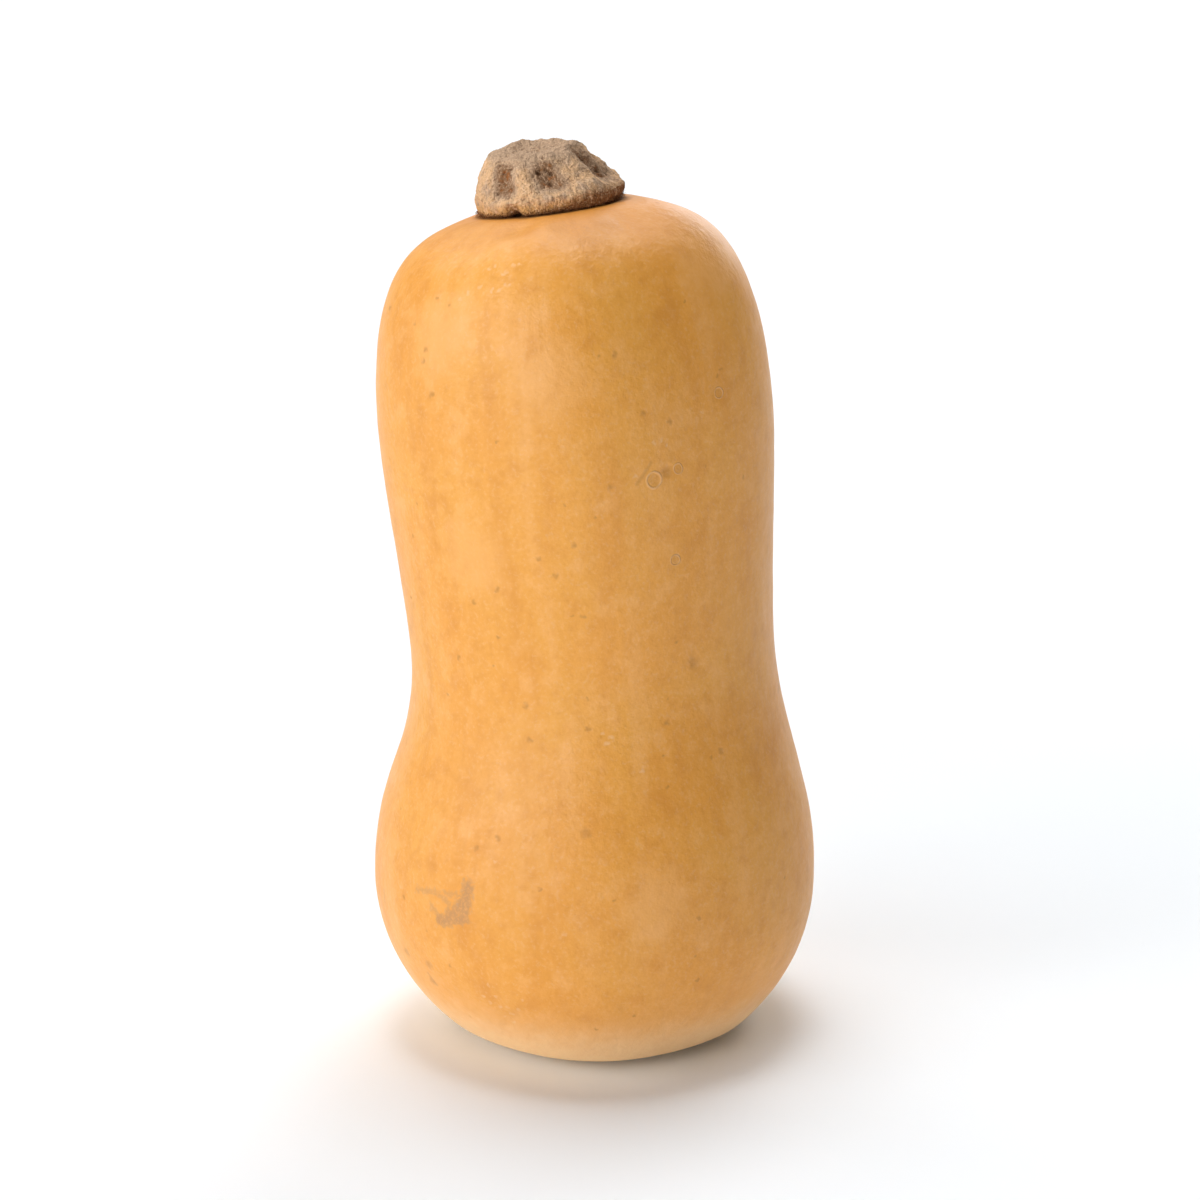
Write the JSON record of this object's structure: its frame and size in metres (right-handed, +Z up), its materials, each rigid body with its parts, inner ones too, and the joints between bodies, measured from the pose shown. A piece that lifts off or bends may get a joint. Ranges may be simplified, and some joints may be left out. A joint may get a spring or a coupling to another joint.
{
  "type": "butternut squash",
  "caption": "Whole butternut squash standing on its blossom end: a rounded bulb, a thick neck leaning a little to one side, and a short dry corky stem stub.",
  "frame": {"origin": "centre of the small flat at the blossom end that the squash stands on", "axes": "+Z up, along the squash from blossom end to stem; -Y is the front of the picture; the neck leans towards -X"},
  "size_m": [0.1108, 0.1101, 0.2217],
  "materials": {
    "rind": "waxy semi-matte rind, ochre orange with faint upright streaks",
    "cork": "dry, rough grey-brown cork"
  },
  "bodies": {
    "root": {"fruit": "rind", "stem": "cork"}
  },
  "joints": []
}
